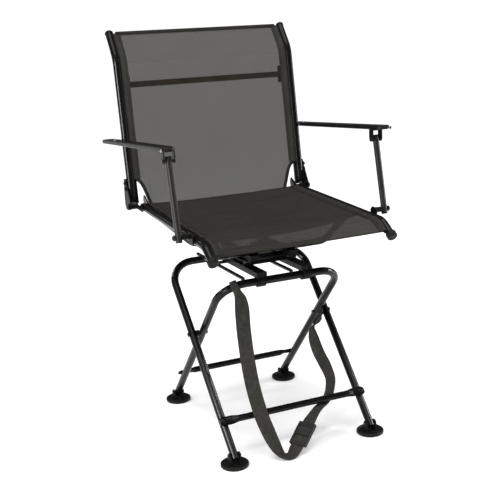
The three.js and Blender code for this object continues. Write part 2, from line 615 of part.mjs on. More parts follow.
// ---------------------------------------------------------------- armrests
const armHeight = (y) => armPivotZ + armSlope * (y - armPivotY);
for (const [side, s] of SIDES) {
  // Flat bar with rounded ends, its long edges eased.
  const corner = 13;
  const plan = [];
  const middle = (armInnerX + armOuterX) / 2;
  const half = (armOuterX - armInnerX) / 2;
  for (const [cx, cy, from] of [[1, 1, 0], [-1, 1, 1], [-1, -1, 2], [1, -1, 3]]) {
    const endY = cy > 0 ? armTail : armNose;
    for (let k = 0; k <= 4; k++) {
      const angle = ((from + k / 4) * Math.PI) / 2;
      plan.push([cx * (half - corner) + corner * Math.cos(angle),
        endY - cy * corner + corner * Math.sin(angle), cx, cy]);
    }
  }
  const layer = (drop, inset) => plan.map(([u, y, cx, cy]) =>
    V(s * (middle + u * (1 - inset / half)), y - Math.sign(y - 76) * inset,
      armHeight(y) + drop));
  const t = armThickness / 2;
  const bodyOfArm = loft([layer(-t, 1.6), layer(-t + 1.6, 0), layer(t - 1.6, 0), layer(t, 1.6)]);
  const pivot = bar(V(s * 245, armPivotY, armPivotZ), V(s * 268, armPivotY, armPivotZ),
    pinRadius + 0.2, 16);
  node(`armrest_pivot_pin_${side}`, "bolt", bar(V(s * (postX + 0.5), armPivotY, armPivotZ),
    V(s * 267, armPivotY, armPivotZ), pinRadius, 16));

  // Fork welded under the armrest's front end.
  const earIn = 10.8;
  const earOut = 13.6;
  const under = armHeight(armFrontY) - t + 1;
  const earShape = [[armFrontY - 8, under], [armFrontY - 8, armFrontZ + 2]];
  for (let k = 1; k < 6; k++) {
    const angle = Math.PI + (Math.PI * k) / 6;
    earShape.push([armFrontY + 7.5 * Math.cos(angle), armFrontZ + 1 + 7 * Math.sin(angle)]);
  }
  earShape.push([armFrontY + 8, armFrontZ + 2], [armFrontY + 8, under]);
  const ears = [-1, 1].map((e) => sidePlate(earShape,
    s * supportX + e * earIn, s * supportX + e * earOut));
  const bridge = box(s * supportX - earOut, s * supportX + earOut, armFrontY - 8, armFrontY + 8,
    under - 2.8, under);
  const earHole = bar(V(s * supportX - 20, armFrontY, armFrontZ),
    V(s * supportX + 20, armFrontY, armFrontZ), pinRadius + 0.3, 16);
  node(`armrest_${side}`, "tube", cut(join(bodyOfArm, bridge, ...ears), pivot, earHole));

  // Support tube between the fork and the seat rail.
  const foot = V(s * supportX, armFootY, armFootZ);
  const head = V(s * supportX, armFrontY, armFrontZ);
  const lean = head.clone().sub(foot).normalize();
  const tube = bar(foot.clone().addScaledVector(lean, -12), head.clone().addScaledVector(lean, 10),
    supportRadius, 18);
  const across = (at, r, n) => bar(V(at.x - 30, at.y, at.z), V(at.x + 30, at.y, at.z), r, n);
  const footHole = bar(foot.clone().add(V(-30, 0, 0)), foot.clone().add(V(30, 0, 0)),
    pinRadius + 0.6, 16);
  const pinHalf = earOut + GAP;
  const forkPin = turned(head.clone().add(V(-pinHalf - 2, 0, 0)), V(1, 0, 0),
    [[0, 3.4], [0.7, 4.8], [2, 4.8], [2, pinRadius], [2 + 2 * pinHalf, pinRadius],
      [2 + 2 * pinHalf, 4.8], [3.3 + 2 * pinHalf, 4.8], [4 + 2 * pinHalf, 3.4]], 14);
  node(`arm_support_${side}`, "tube", cut(join(tube, forkPin), footHole));

  // Bracket on the rail, with the bolt on which the support swings.
  const railOuter = railX + seatTubeRadius + 0.3;
  const tab = sidePlate([[armFootY - 13, railHeight(armFootY) - 8],
    [armFootY + 13, railHeight(armFootY) - 8], [armFootY + 13, armFootZ + 1],
    [armFootY + 7, armFootZ + 8], [armFootY - 7, armFootZ + 8], [armFootY - 13, armFootZ + 1]],
  s * railOuter, s * (railOuter + 3.2));
  const stand = bar(V(s * (railOuter + 2), armFootY, armFootZ),
    V(s * (supportX - supportRadius - 0.4), armFootY, armFootZ), 6.5, 18);
  const bore = bar(V(s * 228, armFootY, armFootZ), V(s * 262, armFootY, armFootZ),
    pinRadius + 0.6, 16);
  node(`arm_foot_bracket_${side}`, "plate", cut(join(tab, stand), bore));
  const bolted = supportX + supportRadius + GAP - railOuter;
  node(`arm_foot_bolt_${side}`, "bolt", turned(V(s * railOuter, armFootY, armFootZ), V(s, 0, 0),
    [[0, 3.4], [bolted, 3.4], [bolted, 6.4], [bolted + 2.4, 6.4], [bolted + 3.8, 4.2]], 16));
}

// ---------------------------------------------------------------- carrying strap
// Route of the webbing: a loop round the front top tube, down in front of the front crossbar,
// over the floor, up through its slider, under the crossbar and back to the right leg's pivot.
// Each row is a point on its centreline, the direction of its width, and its width there.
const strapRoute = [
  [-119, -123.5, 394.5, 0.9, -0.3, 0.3, 16], [-121, -122.5, 403, 0.9, -0.3, 0.3, 16],
  [-124, -127.5, 409.2, 0.9, -0.3, 0.3, 16], [-127, -136, 410.9, 0.9, -0.3, 0.3, 17],
  [-128, -144.5, 406.6, 0.9, -0.3, 0.3, 17], [-125.5, -148.8, 398, 0.9, -0.3, 0.3, 18],
  [-121, -151, 386, 1, -0.15, 0.1, 20], [-116.5, -153, 371, 1, 0, 0, 30],
  [-114.5, -155, 345, 1, 0, 0, strapWidth], [-114.5, -158, 300, 1, 0, 0, strapWidth],
  [-112.5, -166, 235, 1, 0, 0, strapWidth], [-108, -177, 170, 1, 0, 0, strapWidth],
  [-99, -196, 103, 1, 0, 0, strapWidth], [-89, -213, 60, 1, 0.1, 0, strapWidth],
  [-80, -228, 30, 0.9, 0.35, 0, strapWidth], [-71, -239, 12, 0.7, 0.7, 0, strapWidth],
  [-60, -245, 4, 0.35, 0.93, 0, strapWidth], [-45, -244, 3.5, 0, 1, 0, strapWidth],
  [-32, -237.5, 13, -0.35, 0.93, 0, strapWidth], [-18, -230, 26, -0.44, 0.9, 0, strapWidth],
  [-4, -222, 38, -0.44, 0.9, 0, strapWidth], [10, -214, 50, -0.44, 0.9, 0, strapWidth],
  [25, -206, 62, -0.44, 0.9, 0, 32], [42, -196, 72, -0.5, 0.87, 0, 26],
  [60, -184, 77.5, -0.55, 0.83, 0, 24], [78, -171, 78.5, -0.5, 0.86, 0, 24],
  [94, -158, 80, -0.45, 0.9, 0, 24], [108, -146, 87, -0.3, 0.95, 0, 26],
  [120, -134, 100, -0.25, 0.97, 0, 28], [129, -120, 116, -0.3, 0.95, 0, 30],
  [130, -106, 132, -0.4, 0.9, 0, 32], [127, -92, 150, -0.45, 0.9, 0, strapWidth],
  [121, -77, 173, -0.45, 0.9, 0, strapWidth], [118.5, -61, 199, -0.4, 0.9, 0, 34],
  [119.5, -50, 215, -0.35, 0.9, -0.1, 28], [122.5, -41, 227, -0.3, 0.9, -0.35, 20],
  [131, -34, 234, -0.2, 0.7, -0.7, 19], [145, -26, 237, 0, 0.4, -0.9, 19],
  [159, -16, 238.5, 0, 0.2, -1, 18], [171, -3, 240, 0, 0, -1, 15],
];
const strapPoints = strapRoute.map(([x, y, z]) => V(x, y, z));
const strapAhead = strapPoints.map((p, i) => strapPoints[Math.min(i + 1, strapPoints.length - 1)]
  .clone().sub(strapPoints[Math.max(i - 1, 0)]).normalize());
const strapWide = strapRoute.map(([, , , wx, wy, wz], i) => V(wx, wy, wz)
  .addScaledVector(strapAhead[i], -V(wx, wy, wz).dot(strapAhead[i])).normalize());
function strapRing(i, along, width, thickness) {
  const thick = strapAhead[i].clone().cross(strapWide[i]);
  return [[-1, -1], [1, -1], [1, 1], [-1, 1]].map(([a, b]) => strapPoints[i].clone()
    .addScaledVector(strapAhead[i], along)
    .addScaledVector(strapWide[i], (a * width) / 2)
    .addScaledVector(thick, (b * thickness) / 2));
}
node("carry_strap", "webbing", loft(strapPoints.map((p, i) =>
  strapRing(i, 0, strapRoute[i][6], strapThickness))));
// Slider: side rails joined by three pairs of cross bars, with the webbing between the pairs.
const sliderAt = 20;
const sliderBlock = (from, to, width, thickness) =>
  loft([strapRing(sliderAt, from, width, thickness), strapRing(sliderAt, to, width, thickness)]);
node("strap_slider", "plastic", cut(sliderBlock(-30, 30, strapWidth + 9, 9),
  sliderBlock(-40, 40, strapWidth + 2.8, 5.6),
  sliderBlock(-22, -4, strapWidth + 2.8, 12), sliderBlock(4, 20, strapWidth + 2.8, 12)));

// ---------------------------------------------------------------- origin
// Everything but the loose strap is centred over the origin, standing on z = 0.
const extent = new THREE.Box3();
for (const mesh of group.children) {
  if (!mesh.name.includes("strap")) extent.expandByObject(mesh);
}
const shift = extent.getCenter(V());
for (const mesh of group.children) {
  mesh.geometry.translate(-shift.x, -shift.y, -extent.min.z);
}

export default group;
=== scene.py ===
"""Looks for the folding swivel chair: woven slings, hems, stitching, strap, materials and light.

Lengths in this script's tables are millimetres in the chair's design frame, whose y axis
passes through the crossing of the legs. mm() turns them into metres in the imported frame.
"""

import math

import bmesh
import bpy
from mathutils import Matrix, Vector


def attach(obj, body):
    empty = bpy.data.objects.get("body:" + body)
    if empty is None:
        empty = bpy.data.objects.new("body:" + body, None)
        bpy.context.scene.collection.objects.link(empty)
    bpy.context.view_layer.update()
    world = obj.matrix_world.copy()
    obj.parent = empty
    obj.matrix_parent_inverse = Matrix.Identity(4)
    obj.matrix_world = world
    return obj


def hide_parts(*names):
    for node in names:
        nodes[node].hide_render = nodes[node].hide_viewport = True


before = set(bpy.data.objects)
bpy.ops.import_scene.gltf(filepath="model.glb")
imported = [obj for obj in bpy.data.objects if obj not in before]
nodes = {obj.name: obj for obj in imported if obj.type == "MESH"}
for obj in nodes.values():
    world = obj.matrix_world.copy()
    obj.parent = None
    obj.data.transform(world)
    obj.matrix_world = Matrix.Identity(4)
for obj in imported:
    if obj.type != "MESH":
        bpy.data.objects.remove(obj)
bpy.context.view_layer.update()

CENTRING = -27.840  # y of the design frame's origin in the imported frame
SIDES = (("left", -1), ("right", 1))


def mm(x, y, z):
    return Vector((x, y + CENTRING, z)) / 1000


# ------------------------------------------------------------------ camera
VIEW_AZIMUTH = math.radians(-23.4)
VIEW_ELEVATION = math.radians(13.4)
VIEW_ROLL = math.radians(-2.9)
VIEW_PLACE = (-909.6, -2055.6, 978.0)
LENS = 67.11
SENSOR_WIDTH = 36
back_axis = Vector((
    math.sin(VIEW_AZIMUTH) * math.cos(VIEW_ELEVATION),
    -math.cos(VIEW_AZIMUTH) * math.cos(VIEW_ELEVATION),
    math.sin(VIEW_ELEVATION),
))
level_right = Vector((math.cos(VIEW_AZIMUTH), math.sin(VIEW_AZIMUTH), 0))
level_up = back_axis.cross(level_right)
right_axis = level_right * math.cos(VIEW_ROLL) + level_up * math.sin(VIEW_ROLL)
up_axis = level_up * math.cos(VIEW_ROLL) - level_right * math.sin(VIEW_ROLL)
camera_data = bpy.data.cameras.new("camera")
camera_data.lens = LENS
camera_data.sensor_width = SENSOR_WIDTH
camera = bpy.data.objects.new("camera", camera_data)
turn = Matrix((right_axis, up_axis, back_axis)).transposed().to_4x4()
camera.matrix_world = Matrix.Translation(mm(*VIEW_PLACE)) @ turn
bpy.context.scene.collection.objects.link(camera)
bpy.context.scene.camera = camera


# ------------------------------------------------------------------ material helpers
class Nodes:
    """One procedural material: its node tree, its shader and shorthand for wiring them."""

    def __init__(self, name, **sockets):
        self.material = bpy.data.materials.new(name)
        self.material.use_nodes = True
        self.tree = self.material.node_tree
        self.shader = self.tree.nodes["Principled BSDF"]
        for socket, value in sockets.items():
            self.shader.inputs[socket.replace("_", " ")].default_value = value

    def add(self, kind, **settings):
        node = self.tree.nodes.new(kind)
        for key, value in settings.items():
            if key in node.inputs:
                node.inputs[key].default_value = value
            else:
                setattr(node, key, value)
        return node

    def link(self, source, target):
        self.tree.links.new(source, target)

    def cloth_places(self):
        """The two coordinates of the cloth's own UVs, in metres."""
        split = self.add("ShaderNodeSeparateXYZ")
        self.link(self.add("ShaderNodeUVMap", uv_map="cloth").outputs[0], split.inputs[0])
        return split.outputs[0], split.outputs[1]

    def maths(self, operation, a, b=0.0):
        node = self.add("ShaderNodeMath", operation=operation)
        for i, value in enumerate((a, b)):
            if isinstance(value, (int, float)):
                node.inputs[i].default_value = value
            else:
                self.link(value, node.inputs[i])
        return node.outputs[0]

    def ramp(self, source, stops):
        node = self.add("ShaderNodeValToRGB")
        elements = node.color_ramp.elements
        while len(elements) < len(stops):
            elements.new(0.5)
        for element, (place, colour) in zip(elements, stops):
            element.position = place
            element.color = (*colour, 1) if hasattr(colour, "__len__") else (colour,) * 3 + (1,)
        self.link(source, node.inputs[0])
        return node.outputs[0]

    def noise(self, scale, detail=3.0, stretch=None):
        places = self.add("ShaderNodeTexCoord")
        source = places.outputs["Object"]
        if stretch:
            mapping = self.add("ShaderNodeMapping")
            mapping.inputs["Scale"].default_value = stretch
            self.link(source, mapping.inputs[0])
            source = mapping.outputs[0]
        texture = self.add("ShaderNodeTexNoise")
        texture.inputs["Scale"].default_value = scale
        texture.inputs["Detail"].default_value = detail
        self.link(source, texture.inputs["Vector"])
        return texture.outputs[0]

    def bump(self, height, strength, distance):
        node = self.add("ShaderNodeBump")
        node.inputs["Strength"].default_value = strength
        node.inputs["Distance"].default_value = distance
        self.link(height, node.inputs["Height"])
        self.link(node.outputs[0], self.shader.inputs["Normal"])

    def colour(self, source):
        self.link(source, self.shader.inputs["Base Color"])

    def roughness(self, source):
        self.link(source, self.shader.inputs["Roughness"])


def painted_metal(name, dark, light, rough, grain, shine, coat=0.0):
    """Powder coat on steel: faint orange peel, slightly uneven in sheen and tone."""
    m = Nodes(name, Metallic=0.0, Specular_IOR_Level=shine, Coat_Weight=coat, Coat_Roughness=0.1)
    patches = m.noise(26, 4)
    m.colour(m.ramp(patches, ((0.35, dark), (0.75, light))))
    m.roughness(m.ramp(m.noise(38, 3), ((0.3, rough), (0.7, rough + 0.07))))
    m.bump(m.noise(420, 2), grain, 0.0001)
    return m.material


def woven_mesh(name, thread, shade, pitch, gap=0.0, clear=0.0, rough=0.72):
    """Coated weave. gap is the thin share of one pitch, and clear is the share of light that passes there."""
    m = Nodes(name, Metallic=0.0, Specular_IOR_Level=0.15)
    holes = []
    rounds = []
    for place in m.cloth_places():
        inside = m.maths("FRACT", m.maths("MULTIPLY", place, 1 / pitch))
        away = m.maths("ABSOLUTE", m.maths("SUBTRACT", inside, 0.5))
        holes.append(m.maths("LESS_THAN", away, gap / 2))
        rounds.append(m.maths("MULTIPLY", away, 2.0))
    if gap:
        hole = m.maths("MULTIPLY", holes[0], holes[1])
        m.link(m.maths("SUBTRACT", 1.0, m.maths("MULTIPLY", hole, clear)), m.shader.inputs["Alpha"])
    streaks = m.noise(14, 5, stretch=(1, 9, 1))
    mottled = m.maths("MULTIPLY", m.noise(240, 3), 0.5)
    mix = m.maths("ADD", m.maths("MULTIPLY", streaks, 0.6), mottled)
    m.colour(m.ramp(mix, ((0.35, thread), (0.72, shade))))
    m.roughness(m.ramp(m.noise(60, 3), ((0.3, rough - 0.06), (0.7, rough + 0.1))))
    m.bump(m.maths("ADD", rounds[0], rounds[1]), 0.5, 0.0005)
    return m.material


def webbing(name, dark, light, rib):
    """Tightly woven tape: cross ribs with two rows of yarns, on UVs in metres."""
    m = Nodes(name, Metallic=0.0, Specular_IOR_Level=0.25)
    over, down = m.cloth_places()
    across = m.maths("SINE", m.maths("MULTIPLY", over, 2 * math.pi / (rib * 1.3)))
    along = m.maths("SINE", m.maths("MULTIPLY", down, 2 * math.pi / rib))
    weave = m.maths("ADD", m.maths("MULTIPLY", across, 0.35), m.maths("MULTIPLY", along, 0.5))
    fuzz = m.maths("ADD", m.maths("MULTIPLY", weave, 0.22), m.noise(90, 4))
    m.colour(m.ramp(fuzz, ((0.25, dark), (0.8, light))))
    m.roughness(m.ramp(m.noise(150, 3), ((0.3, 0.78), (0.7, 0.95))))
    m.bump(weave, 0.6, 0.0005)
    return m.material


def moulded_plastic(name, dark, light, rough, shine):
    """Moulded plastic with a fine eroded texture and scuffs."""
    m = Nodes(name, Metallic=0.0, Specular_IOR_Level=shine)
    m.colour(m.ramp(m.noise(45, 5), ((0.4, dark), (0.8, light))))
    m.roughness(m.ramp(m.noise(180, 4), ((0.3, rough), (0.7, rough + 0.18))))
    m.bump(m.noise(1300, 2), 0.35, 0.0002)
    return m.material


def plated_steel(name, dark, light, rough):
    """Dark zinc plating with turning marks."""
    m = Nodes(name, Metallic=1.0)
    m.colour(m.ramp(m.noise(120, 4), ((0.3, dark), (0.75, light))))
    m.roughness(m.ramp(m.noise(400, 3), ((0.3, rough), (0.7, rough + 0.15))))
    m.bump(m.noise(700, 3), 0.25, 0.0001)
    return m.material


BLACK_PAINT = ((0.0035, 0.0033, 0.003), (0.007, 0.0065, 0.0059))
FINE_PITCH = 0.0013
TUBE = painted_metal("gloss_black_tube", *BLACK_PAINT, 0.17, 0.03, 0.14, 0.08)
PLATE = painted_metal("satin_black_plate", *BLACK_PAINT, 0.42, 0.12, 0.12)
ARM = painted_metal("armrest_paint", (0.0042, 0.0039, 0.0034), (0.008, 0.0074, 0.0065),
                    0.36, 0.10, 0.14, 0.05)
# The arm supports are the same black paint as the other tubes. This lighter copy paints in the light that
# falls on them from the upper left.
PAINTED_LIGHT_SUPPORT = painted_metal("support_paint_painted_light", (0.011, 0.0102, 0.009), (0.020, 0.0186, 0.0165),
                        0.3, 0.06, 0.32, 0.1)
BOLT = plated_steel("zinc_plating", (0.24, 0.24, 0.24), (0.46, 0.46, 0.46), 0.26)
DARK_BOLT = plated_steel("black_oxide", (0.03, 0.029, 0.028), (0.06, 0.058, 0.056), 0.36)
PLASTIC = moulded_plastic("black_plastic", (0.0045, 0.0042, 0.0038), (0.009, 0.0084, 0.0076),
                          0.42, 0.16)
SLIDER = moulded_plastic("slider_plastic", (0.014, 0.0132, 0.0115), (0.025, 0.0235, 0.021),
                         0.45, 0.25)
BACK_MESH = woven_mesh("back_weave", (0.0112, 0.0085, 0.0058), (0.0200, 0.0155, 0.0106),
                       FINE_PITCH, 0.6, 0.285)
SEAT_MESH = woven_mesh("seat_weave", (0.019, 0.0173, 0.0138), (0.0285, 0.0261, 0.0214),
                       FINE_PITCH, 0.5, 0.078)
UNDER_MESH = woven_mesh("underlayer_weave", (0.010, 0.0092, 0.0075), (0.017, 0.0155, 0.013),
                        FINE_PITCH)
HEM = woven_mesh("hem_cloth", (0.028, 0.0258, 0.0212), (0.045, 0.0415, 0.0345),
                 FINE_PITCH, 0.5, 0.09)
HEM_SEAT = woven_mesh("seat_hem_cloth", (0.020, 0.0185, 0.015), (0.033, 0.030, 0.025), 0.0019)
BINDING = webbing("edge_binding", (0.012, 0.0105, 0.0085), (0.024, 0.0215, 0.018), 0.0016)
STRAP = webbing("strap_webbing", (0.022, 0.0198, 0.0165), (0.046, 0.042, 0.036), 0.0022)
THREAD = webbing("stitching_thread", (0.016, 0.015, 0.014), (0.032, 0.030, 0.027), 0.0008)


# ------------------------------------------------------------------ shape helpers
def rounded(corners, radius, steps):
    """The polyline through corners with its inner corners turned to arcs of radius."""
    path = [corners[0].copy()]
    for before, corner, after in zip(corners, corners[1:], corners[2:]):
        back = (before - corner).normalized()
        ahead = (after - corner).normalized()
        half = back.angle(ahead) / 2
        reach = radius / math.tan(half)
        centre = corner + (back + ahead).normalized() * (radius / math.sin(half))
        first = corner + back * reach - centre
        last = corner + ahead * reach - centre
        for k in range(steps + 1):
            arm = first.slerp(last, k / steps)
            path.append(centre + arm.normalized() * radius)
    path.append(corners[-1].copy())
    return path


def even_steps(path, step):
    """Points at an equal spacing close to step along a path."""
    lengths = [0.0]
    for a, b in zip(path, path[1:]):
        lengths.append(lengths[-1] + (b - a).length)
    count = max(2, round(lengths[-1] / step))
    out = []
    i = 0
    for k in range(count + 1):
        want = lengths[-1] * k / count
        while i < len(path) - 2 and lengths[i + 1] < want:
            i += 1
        share = (want - lengths[i]) / max(1e-9, lengths[i + 1] - lengths[i])
        out.append(path[i].lerp(path[i + 1], share))
    return out


def smooth_line(points, times):
    """A Catmull-Rom line through points, with that many steps between each two."""
    out = []
    for i in range(len(points) - 1):
        p0 = points[max(i - 1, 0)]
        p1, p2 = points[i], points[i + 1]
        p3 = points[min(i + 2, len(points) - 1)]
        for k in range(times):
            t = k / times
            out.append(0.5 * (2 * p1 + (p2 - p0) * t + (2 * p0 - 5 * p1 + 4 * p2 - p3) * t * t
                              + (3 * p1 - p0 - 3 * p2 + p3) * t * t * t))
    out.append(points[-1].copy())
    return out


def tangent(line, i):
    """Direction of a line at point i, not normalised."""
    return line[min(i + 1, len(line) - 1)] - line[max(i - 1, 0)]


def ring_faces(rings, sides, start=0):
    """Quads between rings of points, and a cap on the first and the last ring."""
    faces = []
    for i in range(rings - 1):
        for j in range(sides):
            a, b = start + i * sides + j, start + i * sides + (j + 1) % sides
            faces.append((a, b, b + sides, a + sides))
    faces.append(tuple(start + j for j in range(sides)))
    last_ring = start + (rings - 1) * sides
    faces.append(tuple(last_ring + j for j in range(sides)))
    return faces


def piece(name, verts, faces, material, body, uvs=None):
    """A mesh object that rides on a CAD body. uvs has one (u, v) for each vertex, in metres."""
    mesh = bpy.data.meshes.new(name)
    mesh.from_pydata([tuple(v) for v in verts], [], faces)
    mesh.update()
    if uvs:
        layer = mesh.uv_layers.new(name="cloth")
        for loop in mesh.loops:
            layer.data[loop.index].uv = uvs[loop.vertex_index]
    build = bmesh.new()
    build.from_mesh(mesh)
    bmesh.ops.recalc_face_normals(build, faces=build.faces)
    build.to_mesh(mesh)
    build.free()
    mesh.shade_smooth()
    mesh.materials.append(material)
    thing = bpy.data.objects.new(name, mesh)
    bpy.context.scene.collection.objects.link(thing)
    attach(thing, body)
    return thing


def grid(name, rows, material, body):
    """An open sheet through rows of points, with UVs that measure along the cloth."""
    columns = len(rows[0])
    verts = [p for row in rows for p in row]
    faces = []
    for i in range(len(rows) - 1):
        for j in range(columns - 1):
            a = i * columns + j
            faces.append((a, a + 1, a + 1 + columns, a + columns))
    middle = columns // 2
    v = 0.0
    uvs = []
    for i, row in enumerate(rows):
        if i:
            v += (row[middle] - rows[i - 1][middle]).length
        for p in row:
            uvs.append((p.x, v))
    return piece(name, verts, faces, material, body, uvs)


def ribbon(name, line, normals, width, thickness, material, body, widths=None):
    """A closed flat tape centred on line; normals point out of its face at each point."""
    profile = ((-1, -0.6), (-0.97, -1), (0.97, -1), (1, -0.6), (1, 0.6), (0.97, 1), (-0.97, 1), (-1, 0.6))
    verts = []
    uvs = []
    run = 0.0
    for i, p in enumerate(line):
        ahead = tangent(line, i).normalized()
        side = ahead.cross(normals[i]).normalized()
        out = side.cross(ahead).normalized()
        half = (widths[i] if widths else width) / 2
        if i:
            run += (p - line[i - 1]).length
        for a, b in profile:
            verts.append(p + side * (a * half) + out * (b * thickness / 2))
            uvs.append((a * half, run))
    faces = ring_faces(len(line), len(profile))
    return piece(name, verts, faces, material, body, uvs)


def round_tube(name, line, radius, sides, material, body):
    """A closed tube along line."""
    verts = []
    uvs = []
    ahead = (line[1] - line[0]).normalized()
    normal = ahead.orthogonal().normalized()
    run = 0.0
    for i, p in enumerate(line):
        new = tangent(line, i).normalized()
        normal = (normal - new * normal.dot(new)).normalized()
        other = new.cross(normal)
        if i:
            run += (p - line[i - 1]).length
        for k in range(sides):
            angle = 2 * math.pi * k / sides
            verts.append(p + normal * (radius * math.cos(angle)) + other * (radius * math.sin(angle)))
            uvs.append((angle * radius, run))
    faces = ring_faces(len(line), sides)
    return piece(name, verts, faces, material, body, uvs)


STITCH = (0.0028, 0.0016, 0.0007)  # length, gap and thickness
SMALL_STITCH = (0.0026, 0.0014, 0.0006)


def stitches(name, line, normals, size, body):
    """A row of separate raised stitches along line, each a small arched bar."""
    length, gap, thick = size
    marks = even_steps(line, length + gap)
    verts = []
    faces = []
    uvs = []
    for p, q in zip(marks, marks[1:]):
        nearest = min(range(len(line)), key=lambda i: (line[i] - p).length)
        up = normals[nearest]
        ahead = (q - p).normalized()
        side = ahead.cross(up).normalized()
        start = len(verts)
        for along, rise, half in ((0, -0.2, 0.3), (0.25, 0.8, 0.5), (0.75, 0.8, 0.5), (1, -0.2, 0.3)):
            centre = p + ahead * (length * along) + up * (thick * rise)
            for a, b in ((-1, -0.5), (1, -0.5), (0.7, 0.5), (-0.7, 0.5)):
                verts.append(centre + side * (a * thick * half) + up * (b * thick * half))
                uvs.append((a * thick * half, length * along))
        faces += ring_faces(4, 4, start)
    return piece(name, verts, faces, THREAD, body, uvs)


def turned(name, centre, axis, profile, sides, material, body, hexes=()):
    """A turned piece. profile rows are (distance along axis, radius); hexes lists rows that are
    hexagons instead of circles."""
    axis = axis.normalized()
    u = axis.orthogonal().normalized()
    v = axis.cross(u)
    verts = []
    for row, (distance, radius) in enumerate(profile):
        for k in range(sides):
            angle = 2 * math.pi * k / sides
            r = radius
            if row in hexes:
                within = (angle % (math.pi / 3)) - math.pi / 6
                r = radius * math.cos(math.pi / 6) / math.cos(within)
            verts.append(centre + axis * distance + u * (r * math.cos(angle)) + v * (r * math.sin(angle)))
    faces = ring_faces(len(profile), sides)
    thing = piece(name, verts, faces, material, body)
    edges = thing.modifiers.new("edges", "EDGE_SPLIT")
    edges.split_angle = math.radians(32)
    return thing


def rivet(name, centre, axis, radius, body, material=None):
    """A domed rivet or screw head with a driving recess."""
    r = radius
    profile = ((-0.0006, r), (0.0004, r), (0.35 * r, 0.9 * r), (0.55 * r, 0.6 * r), (0.62 * r, 0.3 * r),
               (0.35 * r, 0.26 * r), (0.35 * r, 0.05 * r))
    return turned(name, centre, axis, profile, 18, material or BOLT, body)


def hex_bolt(name, centre, axis, radius, body, material=None):
    """A hexagon head on a washer, chamfered at the top."""
    r = radius
    profile = ((-0.0004, r * 1.45), (0.0009, r * 1.45), (0.0011, r * 1.3), (0.0011, r), (0.62 * r, r),
               (0.72 * r, 0.82 * r), (0.72 * r, 0.05 * r))
    return turned(name, centre, axis, profile, 24, material or BOLT, body,
                  hexes=(3, 4))


# ------------------------------------------------------------------ carrying strap
# Centreline, direction of the width and width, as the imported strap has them.
STRAP_ROUTE = (
    (-119, -123.5, 394.5, 0.9, -0.3, 0.3, 16), (-121, -122.5, 403, 0.9, -0.3, 0.3, 16),
    (-124, -127.5, 409.2, 0.9, -0.3, 0.3, 16), (-127, -136, 410.9, 0.9, -0.3, 0.3, 17),
    (-128, -144.5, 406.6, 0.9, -0.3, 0.3, 17), (-125.5, -148.8, 398, 0.9, -0.3, 0.3, 18),
    (-121, -151, 386, 1, -0.15, 0.1, 20), (-116.5, -153, 371, 1, 0, 0, 30),
    (-114.5, -155, 345, 1, 0, 0, 36), (-114.5, -158, 300, 1, 0, 0, 36),
    (-112.5, -166, 235, 1, 0, 0, 36), (-108, -177, 170, 1, 0, 0, 36),
    (-99, -196, 103, 1, 0, 0, 36), (-89, -213, 60, 1, 0.1, 0, 36),
    (-80, -228, 30, 0.9, 0.35, 0, 36), (-71, -239, 12, 0.7, 0.7, 0, 36),
    (-60, -245, 4, 0.35, 0.93, 0, 36), (-45, -244, 3.5, 0, 1, 0, 36),
    (-32, -237.5, 13, -0.35, 0.93, 0, 36), (-18, -230, 26, -0.44, 0.9, 0, 36),
    (-4, -222, 38, -0.44, 0.9, 0, 36), (10, -214, 50, -0.44, 0.9, 0, 36),
    (25, -206, 62, -0.44, 0.9, 0, 32), (42, -196, 72, -0.5, 0.87, 0, 26),
    (60, -184, 77.5, -0.55, 0.83, 0, 24), (78, -171, 78.5, -0.5, 0.86, 0, 24),
    (94, -158, 80, -0.45, 0.9, 0, 24), (108, -146, 87, -0.3, 0.95, 0, 26),
    (120, -134, 100, -0.25, 0.97, 0, 28), (129, -120, 116, -0.3, 0.95, 0, 30),
    (130, -106, 132, -0.4, 0.9, 0, 32), (127, -92, 150, -0.45, 0.9, 0, 36),
    (121, -77, 173, -0.45, 0.9, 0, 36), (118.5, -61, 199, -0.4, 0.9, 0, 34),
    (119.5, -50, 215, -0.35, 0.9, -0.1, 28), (122.5, -41, 227, -0.3, 0.9, -0.35, 20),
    (131, -34, 234, -0.2, 0.7, -0.7, 19), (145, -26, 237, 0, 0.4, -0.9, 19),
    (159, -16, 238.5, 0, 0.2, -1, 18), (171, -3, 240, 0, 0, -1, 15),
)
STRAP_WIDTH = 0.036
STRAP_THICKNESS = 0.0017
STRAP_FINENESS = 4  # steps of the line between two rows of the route
strap_line = smooth_line([mm(*row[:3]) for row in STRAP_ROUTE], STRAP_FINENESS)
strap_sides = smooth_line([Vector(row[3:6]).normalized() for row in STRAP_ROUTE], STRAP_FINENESS)
row_widths = [Vector((row[6] / 1000, 0, 0)) for row in STRAP_ROUTE]
strap_widths = [w.x for w in smooth_line(row_widths, STRAP_FINENESS)]
strap_normals = [side.cross(tangent(strap_line, i)).normalized() for i, side in enumerate(strap_sides)]
strap = ribbon("carrying_strap", strap_line, strap_normals, STRAP_WIDTH, STRAP_THICKNESS, STRAP,
               "inner_frame", strap_widths)
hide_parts("carry_strap")

# The strap's second end: a loop round the right leg pivot and a fold gathered beside it.
LOOP_RADIUS = 0.0088
LOOP_WIDTH = 0.0054
FOLD_WIDTH = 0.016
pivot = mm(171, 0, 256.26)
loop_line = [pivot + Vector((0, math.cos(a), math.sin(a))) * LOOP_RADIUS
             for a in (math.radians(-150 + 12 * k) for k in range(31))]
loop_normals = [(p - pivot).normalized() for p in loop_line]
strap_loop = ribbon("strap_end_loop", loop_line, loop_normals, LOOP_WIDTH, STRAP_THICKNESS, STRAP,
                    "inner_frame")
fold_points = [mm(131, -35, 235), mm(145, -27, 243), mm(160, -17, 250), mm(170.6, -10, 256)]
fold_line = smooth_line(fold_points, 5)
fold_normals = [Vector((-0.6, 0.8, 0)).normalized()] * len(fold_line)
